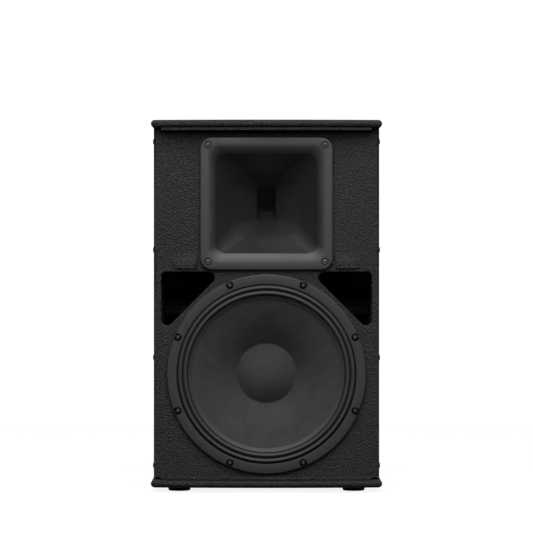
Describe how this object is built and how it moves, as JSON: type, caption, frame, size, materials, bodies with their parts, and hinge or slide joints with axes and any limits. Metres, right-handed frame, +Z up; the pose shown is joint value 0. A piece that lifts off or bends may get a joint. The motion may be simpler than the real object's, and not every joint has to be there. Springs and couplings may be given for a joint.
{
  "type": "pa speaker cabinet",
  "caption": "Passive two-way PA loudspeaker cabinet with its grille off: bass driver, square horn, corner ports, recessed handles and a pole socket.",
  "frame": {"origin": "on the floor under the middle of the cabinet, level with the soles of its feet", "axes": "+Z up, the front with the drivers faces -Y, +X to the right of someone looking at the front"},
  "size_m": [0.448, 0.4, 0.7206],
  "materials": {
    "coated_plywood": "black textured polyurea coat over birch plywood",
    "stained_plywood": "dark stained birch plywood",
    "black_steel": "satin black powder coat",
    "cast_frame": "fine-textured black powder coat on die-cast aluminium",
    "steel": "zinc-plated steel",
    "ferrite": "sintered ferrite",
    "paper_cone": "black fibre-loaded paper pulp",
    "treated_cloth": "doped cloth",
    "amber_cloth": "phenolic-impregnated cloth",
    "copper": "enamelled copper wire",
    "titanium": "thin titanium foil",
    "black_plastic": "moulded black, lightly textured",
    "rubber": "moulded black rubber",
    "circuit_board": "glass-epoxy board",
    "wadding": "polyester wadding"
  },
  "bodies": {
    "cabinet": {"baffle": "coated_plywood", "bottom_panel": "coated_plywood", "cross_brace": "stained_plywood", "crossover_board": "circuit_board", "crossover_capacitor": "black_plastic", "crossover_inductor": "copper", "crossover_spacer_1": "black_plastic", "crossover_spacer_2": "black_plastic", "damping_pad": "wadding", "driver_magnet": "ferrite", "driver_rear_cover": "black_plastic", "driver_top_plate": "steel", "driver_yoke": "steel", "foot_front_left": "rubber", "foot_front_right": "rubber", "foot_rear_left": "rubber", "foot_rear_right": "rubber", "grille_stop_bottom": "coated_plywood", "grille_stop_top": "coated_plywood", "handle_cup_left": "black_plastic", "handle_cup_right": "black_plastic", "handle_grip_left": "rubber", "handle_grip_right": "rubber", "horn": "black_plastic", "horn_screw_1": "black_steel", "horn_screw_2": "black_steel", "horn_screw_3": "black_steel", "horn_screw_4": "black_steel", "input_plate": "black_steel", "input_socket_left": "black_plastic", "input_socket_right": "black_plastic", "left_side_panel": "coated_plywood", "pole_socket": "black_steel", "port_duct_left": "coated_plywood", "port_duct_right": "coated_plywood", "port_hood_left": "coated_plywood", "port_hood_right": "coated_plywood", "rear_panel": "coated_plywood", "right_side_panel": "coated_plywood", "top_panel": "coated_plywood", "woofer_frame": "cast_frame", "woofer_magnet": "ferrite", "woofer_screw_1": "black_steel", "woofer_screw_2": "black_steel", "woofer_screw_3": "black_steel", "woofer_screw_4": "black_steel", "woofer_screw_5": "black_steel", "woofer_screw_6": "black_steel", "woofer_screw_7": "black_steel", "woofer_screw_8": "black_steel", "woofer_spider": "amber_cloth", "woofer_surround": "treated_cloth", "woofer_terminal": "black_plastic", "woofer_top_plate": "steel", "woofer_yoke": "steel"},
    "cone_assembly": {"woofer_cone": "paper_cone", "woofer_dust_cap": "paper_cone", "woofer_voice_coil": "copper"},
    "diaphragm": {"driver_diaphragm": "titanium"}
  },
  "joints": [
    {"name": "cone_travel", "type": "slide", "parent": "cabinet", "child": "cone_assembly", "axis": [0, -1, 0], "range_m": [-0.008, 0.008], "stiffness_N_per_m": 5400, "deforming": ["woofer_surround", "woofer_spider"]},
    {"name": "diaphragm_travel", "type": "slide", "parent": "cabinet", "child": "diaphragm", "axis": [0, -1, 0], "range_m": [-0.0004, 0.0004], "stiffness_N_per_m": 5000}
  ]
}
